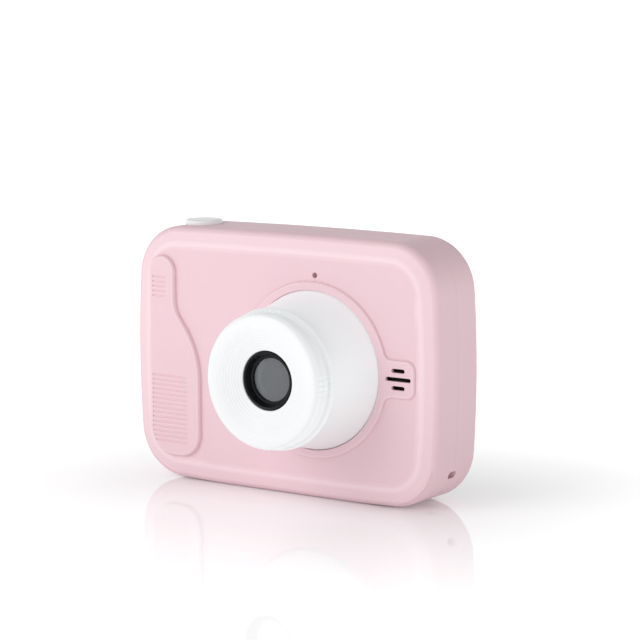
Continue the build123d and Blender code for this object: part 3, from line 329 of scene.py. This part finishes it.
def board_green(name):
    """Solder mask over copper: darker where the board is bare, lighter along the buried tracks."""
    material, tone = new_material(name)
    place = tone.node("TexCoord", out="Object")
    lanes = tone.node("TexBrick", {"offset": 0.37}, {
        "Vector": place, "Scale": TRACKS_PER_METRE, "Mortar Size": 0.06, "Bias": -0.4,
        "Color1": grey(0.0), "Color2": grey(0.25), "Mortar": grey(1.0),
    }, out="Fac")
    tracks = lanes * cloud(tone, 4.0, 1.0)
    finished(tone, {
        "Base Color": blended(tone, tracks, MASK_GREEN, TRACK_GREEN),
        "Roughness": 0.34 - tracks * 0.1,
        "Normal": bumped(tone, tracks, 0.03),
        "Coat Weight": 0.4,
    })
    return material


circuit_green = board_green("circuit_green")
dress(circuit_green, "camera_board", "main_board")

FILM_AMBER = (0.75, 0.38, 0.08, 1.0)
FILM_AMBER_DEEP = (0.45, 0.18, 0.03, 1.0)
STRIP_PITCH_MM = 0.5
CHIP_BLACK = (0.028, 0.028, 0.03, 1.0)
CHIP_BLACK_DEEP = (0.018, 0.018, 0.02, 1.0)


def flat_cable(name, light, dark, pitch_mm, axis):
    """Film over parallel copper strips, pitch_mm apart, or insulated wire with its faint rings."""
    material, tone = new_material(name)
    wave = (along(tone, axis) * (math.tau / (pitch_mm * MM))).math("SINE")
    strips = wave * 0.5 + 0.5
    finished(tone, {
        "Base Color": blended(tone, strips, dark, light),
        "Roughness": 0.35 + strips * 0.1,
        "Normal": bumped(tone, strips, 0.03),
        "Coat Weight": 0.5,
    })
    return material


cable_amber = flat_cable("cable_amber", FILM_AMBER, FILM_AMBER_DEEP, STRIP_PITCH_MM, "X")
dress(cable_amber, "camera_cable", "display_cable")
chip_black = satin_moulding("chip_black", CHIP_BLACK, CHIP_BLACK_DEEP, roughness=0.55, grain_depth_mm=0.01)
dress(chip_black, "camera_connector", "display_connector", "processor")

# ---------------------------------------------------------------------------------------------------------------
# The shutter button. A white cap polished like the barrel, guided in a hole on the top seam; its stem rests on a
# push switch.

BUTTON_WHITE = (0.955, 0.955, 0.962, 1.0)
BUTTON_WHITE_SHADE = (0.94, 0.942, 0.95, 1.0)
button_white = satin_moulding(
    "button_white", BUTTON_WHITE, BUTTON_WHITE_SHADE, roughness=0.30, grain_depth_mm=0.001,
)
dress(button_white, "shutter_button")
dress(chip_black, "shutter_switch")

# ---------------------------------------------------------------------------------------------------------------
# The screen. A clear acrylic window in the back half, printed black round its edge, over a dark colour panel
# whose flat cable is folded down to the board.

SCREEN_VIEW = (41.0 * MM, 31.0 * MM)
VIEW_CORNER = 1.2 * MM
PRINT_MARGIN = 0.4 * MM
PRINT_CORNER = 3.2 * MM
PRINT_THICK = 0.05 * MM
PRINT_LIFT = 0.02 * MM
CORNER_STEPS = 10
INK = (0.010, 0.010, 0.012, 1.0)
INK_DEEP = (0.006, 0.006, 0.007, 1.0)
WINDOW_TINT = (0.02, 0.021, 0.024, 1.0)
PANEL = (0.028, 0.031, 0.040, 1.0)
PANEL_DEEP = (0.020, 0.022, 0.028, 1.0)
COLUMN_PITCH = 0.13 * MM


def round_cornered(middle, size, corner):
    """Points round a rectangle with round corners, seen from the back."""
    points = []
    for side, level, start in ((1, 1, 0), (-1, 1, 90), (-1, -1, 180), (1, -1, 270)):
        for step in range(CORNER_STEPS + 1):
            angle = math.radians(start + 90.0 * step / CORNER_STEPS)
            points.append((
                middle.x + side * (size[0] / 2 - corner) + corner * math.cos(angle),
                middle.z + level * (size[1] / 2 - corner) + corner * math.sin(angle),
            ))
    return points


def placed(name, shell, material, body="case"):
    """Turns finished mesh code into a piece that rides on a body of the camera."""
    mesh = bpy.data.meshes.new(name)
    shell.to_mesh(mesh)
    shell.free()
    mesh.materials.append(material)
    piece = bpy.data.objects.new(name, mesh)
    bpy.context.scene.collection.objects.link(piece)
    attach(piece, body)
    return piece


def printed_border(name, middle, y, outer, inner):
    """A film of ink round a clear middle. outer and inner are outlines with as many points each."""
    shell = bmesh.new()
    rims = []
    for depth in (y, y + PRINT_THICK):
        for size, corner in (outer, inner):
            outline = round_cornered(middle, size, corner)
            rims.append([shell.verts.new((x, depth, z)) for x, z in outline])
    out_front, in_front, out_back, in_back = rims
    count = len(out_front)
    for i in range(count):
        j = (i + 1) % count
        shell.faces.new((out_front[i], out_front[j], in_front[j], in_front[i]))
        shell.faces.new((out_back[j], out_back[i], in_back[i], in_back[j]))
        shell.faces.new((out_front[j], out_front[i], out_back[i], out_back[j]))
        shell.faces.new((in_front[i], in_front[j], in_back[j], in_back[i]))
    bmesh.ops.recalc_face_normals(shell, faces=shell.faces)
    return placed(name, shell, print_black)


print_black, print_tone = new_material("printed_ink_black")
ink = cloud(print_tone, 0.6, 3.0)
finished(print_tone, {
    "Base Color": blended(print_tone, ink, INK_DEEP, INK),
    "Roughness": 0.3 + ink * 0.2,
    "Normal": bumped(print_tone, ink, 0.002),
})
screen_low, screen_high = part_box("screen_window")
screen_middle = (screen_low + screen_high) / 2
screen_size = screen_high - screen_low
printed_size = (screen_size.x - 2 * PRINT_MARGIN, screen_size.z - 2 * PRINT_MARGIN)
screen_print = printed_border(
    "screen_print", screen_middle, screen_low.y + PRINT_LIFT,
    (printed_size, PRINT_CORNER), (SCREEN_VIEW, VIEW_CORNER),
)
window_clear = tinted_window("window_clear", WINDOW_TINT, alpha=0.30, roughness=0.06)
dress(window_clear, "screen_window", "selfie_window")

panel_dark, panel_tone = new_material("panel_dark")
columns = (along(panel_tone, "X") * (math.tau / COLUMN_PITCH)).math("SINE") * 0.5 + 0.5
finished(panel_tone, {
    "Base Color": blended(panel_tone, columns, PANEL_DEEP, PANEL),
    "Roughness": 0.22 + columns * 0.08,
    "Normal": bumped(panel_tone, columns, 0.002),
})
dress(panel_dark, "display_panel")

# ---------------------------------------------------------------------------------------------------------------
# The second camera, which looks back at the person holding the toy. A black module on the main board behind a
# small round window in the back half, printed black round its edge.

SELFIE_PRINT_ACROSS = 6.1 * MM
SELFIE_PRINT_CORNER = 3.0 * MM
SELFIE_VIEW_ACROSS = 3.6 * MM
SELFIE_VIEW_CORNER = 1.75 * MM
selfie_low, selfie_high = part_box("selfie_window")
selfie_print = printed_border(
    "selfie_print", (selfie_low + selfie_high) / 2, selfie_low.y + PRINT_LIFT,
    ((SELFIE_PRINT_ACROSS, SELFIE_PRINT_ACROSS), SELFIE_PRINT_CORNER),
    ((SELFIE_VIEW_ACROSS, SELFIE_VIEW_ACROSS), SELFIE_VIEW_CORNER),
)
dress(inner_black, "selfie_camera")

# ---------------------------------------------------------------------------------------------------------------
# The keys on the back. Eight white caps that rest on push switches and are guided in the back half, with their
# signs sunk into their tops.

KEYS = ("up_key", "down_key", "left_key", "right_key", "ok_key", "mode_key", "album_key", "power_key")
SIGN_SHALLOW = 0.1 * MM
SIGN_DEEP = 0.3 * MM
SIGN_INK = (0.10, 0.10, 0.11, 1.0)
FACES_BACK = 0.97


def signed_cap(name, top_y):
    """White cap, its top at top_y, with grey ink at the bottom of its sunk sign."""
    material, tone = new_material(name)
    wear = cloud(tone, 5.0, 4.0)
    grain = cloud(tone, 0.3, 2.0)
    below = top_y - along(tone, "Y")
    sunk = below.math("GREATER_THAN", SIGN_SHALLOW) * below.math("LESS_THAN", SIGN_DEEP)
    flat = along(tone, "Y", "Normal").math("GREATER_THAN", FACES_BACK)
    skin = blended(tone, wear, BUTTON_WHITE_SHADE, BUTTON_WHITE)
    finished(tone, {
        "Base Color": blended(tone, sunk * flat, skin, SIGN_INK),
        "Roughness": 0.32 + (wear - 0.5) * 0.08,
        "Normal": bumped(tone, grain, 0.001),
    })
    return material


key_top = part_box("ok_key")[1].y
dress(signed_cap("key_cap_white", key_top), *KEYS)

# ---------------------------------------------------------------------------------------------------------------
# Plated steel. The cans of the switches under the keys, of the sockets and of the microphone are stamped and
# soldered to the main board; the screws are turned, and go into posts and bosses of the case and the barrel.

NICKEL = (0.62, 0.61, 0.59, 1.0)
SCREW_STEEL = (0.50, 0.50, 0.51, 1.0)
TARNISH_DARKER = 0.82
ROLLING_LINES = (14000.0, 900.0, 900.0)


def plated_steel(name, colour, roughness):
    """Nickel-plated stamping with faint rolling lines and a little tarnish."""
    material, tone = new_material(name)
    place = tone.node("TexCoord", out="Object")
    stretched = tone.node("Mapping", {}, {"Vector": place, "Scale": ROLLING_LINES})
    lines = tone.node("TexNoise", {}, {"Vector": stretched, "Scale": 1.0, "Detail": 3.0})
    tarnish = cloud(tone, 2.5, 4.0)
    tarnished = (*[part * TARNISH_DARKER for part in colour[:3]], 1.0)
    finished(tone, {
        "Base Color": blended(tone, tarnish, tarnished, colour),
        "Metallic": 1.0,
        "Roughness": roughness + (lines - 0.5) * 0.15 + (tarnish - 0.5) * 0.1,
        "Normal": bumped(tone, lines, 0.004),
    })
    return material


nickel = plated_steel("nickel_plate", NICKEL, roughness=0.3)
dress(nickel, "key_switches", "usb_socket", "card_socket", "microphone")
screw_steel = plated_steel("screw_steel", SCREW_STEEL, roughness=0.34)
dress(screw_steel, "case_screws", "board_screws", "barrel_screws")

# ---------------------------------------------------------------------------------------------------------------
# The status light. A clear acrylic pin, pushed into the back half, that carries the light of a tiny diode on the
# board to the outside.

PIN_CLEAR = (0.86, 0.88, 0.90, 1.0)
PIN_MIST = (0.75, 0.78, 0.82, 1.0)
pin_clear, pin_tone = new_material("pin_clear")
pin_mist = cloud(pin_tone, 0.5, 2.0)
finished(pin_tone, {
    "Base Color": blended(pin_tone, pin_mist, PIN_MIST, PIN_CLEAR),
    "Roughness": 0.25 + pin_mist * 0.15,
    "Normal": bumped(pin_tone, pin_mist, 0.003),
    "Coat Weight": 0.6,
})
dress(pin_clear, "status_light", "status_led")

# ---------------------------------------------------------------------------------------------------------------
# The battery. A soft foil pouch with creases in its skin, stuck to the front wall by a foam pad, with two wires
# to the board.

FOIL = (0.66, 0.66, 0.68, 1.0)
FOIL_CREASED = (0.48, 0.48, 0.50, 1.0)
FOAM = (0.05, 0.05, 0.05, 1.0)
FOAM_DEEP = (0.012, 0.012, 0.012, 1.0)
WIRE_RED = (0.55, 0.03, 0.03, 1.0)
WIRE_RED_DEEP = (0.40, 0.02, 0.02, 1.0)
WIRE_PITCH_MM = 0.9
foil, foil_tone = new_material("pouch_foil")
creases = cloud(foil_tone, 6.0, 5.0)
finished(foil_tone, {
    "Base Color": blended(foil_tone, creases, FOIL_CREASED, FOIL),
    "Metallic": 0.85,
    "Roughness": 0.32 + creases * 0.2,
    "Normal": bumped(foil_tone, creases, 0.12),
})
dress(foil, "battery")

foam, foam_tone = new_material("foam_black")
cells = cloud(foam_tone, 0.45, 4.0)
finished(foam_tone, {
    "Base Color": blended(foam_tone, cells, FOAM_DEEP, FOAM),
    "Roughness": 0.9 - cells * 0.1,
    "Normal": bumped(foam_tone, cells, 0.12),
})
dress(foam, "battery_pad", "speaker_gasket")
wire_red = flat_cable("wire_red", WIRE_RED, WIRE_RED_DEEP, WIRE_PITCH_MM, "Z")
dress(wire_red, "battery_leads", "speaker_leads")

# ---------------------------------------------------------------------------------------------------------------
# The speaker. A round black unit behind the three slots, sealed by a foam ring, with a fine dust cloth under the
# slots so that nothing is seen of its cone.

dress(inner_black, "speaker")
CLOTH_R = 5.6 * MM
THREAD_PITCH = 0.35 * MM
THREAD_HALF = 0.15 * MM
THREAD_THICK = 0.05 * MM
CLOTH = (0.035, 0.033, 0.035, 1.0)
CLOTH_DEEP = (0.010, 0.010, 0.011, 1.0)
gasket_low, gasket_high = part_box("speaker_gasket")
cloth_middle = (gasket_low + gasket_high) / 2
cloth_black, cloth_tone = new_material("cloth_black")
fibres = cloud(cloth_tone, 0.12, 3.0)
finished(cloth_tone, {
    "Base Color": blended(cloth_tone, fibres, CLOTH_DEEP, CLOTH),
    "Roughness": 0.85 + fibres * 0.1,
    "Normal": bumped(cloth_tone, fibres, 0.02),
})


def thread(shell, middle, line, crosswise):
    """One thread of the cloth, which passes over and under those that cross it."""
    offset = line * THREAD_PITCH
    crossings = int((CLOTH_R**2 - offset**2) ** 0.5 / THREAD_PITCH)
    rings = []
    for cross in range(-crossings, crossings + 1):
        lift = THREAD_THICK * (1 if (line + cross + crosswise) % 2 else -1)
        ring = []
        for side, rise in ((-THREAD_HALF, 0), (0, THREAD_THICK), (THREAD_HALF, 0), (0, -THREAD_THICK)):
            run, beside = cross * THREAD_PITCH, offset + side
            x, z = (beside, run) if crosswise else (run, beside)
            ring.append(shell.verts.new((middle.x + x, middle.y + lift + rise, middle.z + z)))
        rings.append(ring)
    for near, far in zip(rings, rings[1:]):
        for i in range(4):
            j = (i + 1) % 4
            shell.faces.new((near[i], near[j], far[j], far[i]))
    if len(rings) > 1:
        shell.faces.new(rings[0])
        shell.faces.new(rings[-1])


weave = bmesh.new()
threads_each_way = int(CLOTH_R / THREAD_PITCH)
for crosswise in (False, True):
    for line in range(-threads_each_way, threads_each_way + 1):
        thread(weave, cloth_middle, line, crosswise)
bmesh.ops.recalc_face_normals(weave, faces=weave.faces)
dust_cloth = placed("dust_cloth", weave, cloth_black)

# ---------------------------------------------------------------------------------------------------------------
# The floor: a pale gloss acrylic sheet under the camera, wide enough to fill the view. It shines by itself, as a
# lit table does, but less close to the foot of the camera, where the camera shades it.

FLOOR_HALF = 12.0
FLOOR_DROP = 0.02 * MM
FLOOR_WHITE = grey(0.93)
FLOOR_SHADED = (0.86, 0.86, 0.865, 1.0)
FLOOR_GLOW = grey(1.0)
FLOOR_GLOW_SHADED = (0.06, 0.065, 0.065, 1.0)
FOOT_HALF_X = 0.030
FOOT_HALF_Y = 0.007
FOOT_Y = 0.011
LIT_REACH = 0.11
LIT_RISE = 0.65
floor_mesh = bpy.data.meshes.new("floor")
floor_corners = [(FLOOR_HALF * x, FLOOR_HALF * y, 0) for x, y in ((-1, -1), (1, -1), (1, 1), (-1, 1))]
floor_mesh.from_pydata(floor_corners, [], [(0, 1, 2, 3)])
floor = bpy.data.objects.new("floor", floor_mesh)
bpy.context.scene.collection.objects.link(floor)
floor.location.z = cad_box[0].z - FLOOR_DROP
acrylic, floor_tone = new_material("floor_acrylic")
haze = cloud(floor_tone, 300.0, 2.0)
beside_x = (along(floor_tone, "X").math("ABSOLUTE") - FOOT_HALF_X).math("MAXIMUM", 0.0)
beside_y = ((along(floor_tone, "Y") - FOOT_Y).math("ABSOLUTE") - FOOT_HALF_Y).math("MAXIMUM", 0.0)
from_foot = (beside_x * beside_x + beside_y * beside_y).math("SQRT")
lit = (from_foot / LIT_REACH).math("MINIMUM", 1.0).math("POWER", LIT_RISE)
finished(floor_tone, {
    "Base Color": blended(floor_tone, lit, FLOOR_SHADED, FLOOR_WHITE),
    "Roughness": 0.035 + haze * 0.01,
    "IOR": 1.5,
    "Emission Color": blended(floor_tone, lit, FLOOR_GLOW_SHADED, FLOOR_GLOW),
    "Emission Strength": 0.50,
})
floor_mesh.materials.append(acrylic)

# ---------------------------------------------------------------------------------------------------------------
# The light: a white room that is brightest round the horizon, and one large soft box to the left, above and in
# front of the camera.

HORIZON_LIGHT = 0.985
CEILING_LIGHT = 0.335
HORIZON_ENDS = 0.18
CEILING_STARTS = 0.75
SOFT_BOX_POWER = 5.9
SOFT_BOX_SIDE = 0.9
SOFT_BOX_AWAY = Vector((-0.55, -1.05, 0.75))
room = bpy.data.worlds.new("white_room")
room.use_nodes = True
room.node_tree.nodes.clear()
bpy.context.scene.world = room
room_tone = Tone(room.node_tree)
height = along(room_tone, "Z", "Generated")
brightness = room_tone.node("MapRange", {"interpolation_type": "SMOOTHSTEP"}, {
    "Value": height, "From Min": HORIZON_ENDS, "From Max": CEILING_STARTS,
    "To Min": HORIZON_LIGHT, "To Max": CEILING_LIGHT,
})
glow = room_tone.node("Background", {}, {"Color": grey(1.0), "Strength": brightness})
room_tone.node("OutputWorld", {}, {"Surface": glow})

box_light = bpy.data.lights.new("soft_box", "AREA")
box_light.shape = "SQUARE"
box_light.size = SOFT_BOX_SIDE
box_light.energy = SOFT_BOX_POWER
soft_box = bpy.data.objects.new("soft_box", box_light)
bpy.context.scene.collection.objects.link(soft_box)
middle = (cad_box[0] + cad_box[1]) / 2
soft_box.location = middle + SOFT_BOX_AWAY
soft_box.rotation_mode = "QUATERNION"
soft_box.rotation_quaternion = (middle - soft_box.location).to_track_quat("-Z", "Y")

# ---------------------------------------------------------------------------------------------------------------
# The view: a long lens well back from the camera and a little above the floor, turned so that the front and the
# right side show.

VIEW_TURN = math.radians(34.97)
VIEW_RISE = math.radians(8.28)
VIEW_ROLL = math.radians(-0.21)
VIEW_DISTANCE = 0.6708
VIEW_AIM = Vector((0.0007, 0.018075, 0.0439))
VIEW_LENS = 142.75
VIEW_FILM = 36.0
VIEW_NEAR = 0.01
VIEW_FAR = 50.0
camera_data = bpy.data.cameras.new("camera")
camera_data.sensor_width = VIEW_FILM
camera_data.lens = VIEW_LENS
camera_data.clip_start = VIEW_NEAR
camera_data.clip_end = VIEW_FAR
camera = bpy.data.objects.new("camera", camera_data)
bpy.context.scene.collection.objects.link(camera)
away = Vector((
    math.sin(VIEW_TURN) * math.cos(VIEW_RISE),
    -math.cos(VIEW_TURN) * math.cos(VIEW_RISE),
    math.sin(VIEW_RISE),
))
camera.location = VIEW_AIM + away * VIEW_DISTANCE
camera.rotation_mode = "QUATERNION"
camera.rotation_quaternion = (
    (-away).to_track_quat("-Z", "Y").to_matrix() @ Matrix.Rotation(VIEW_ROLL, 3, "Z")
).to_quaternion()
bpy.context.scene.camera = camera
bpy.context.scene.view_settings.view_transform = "Standard"
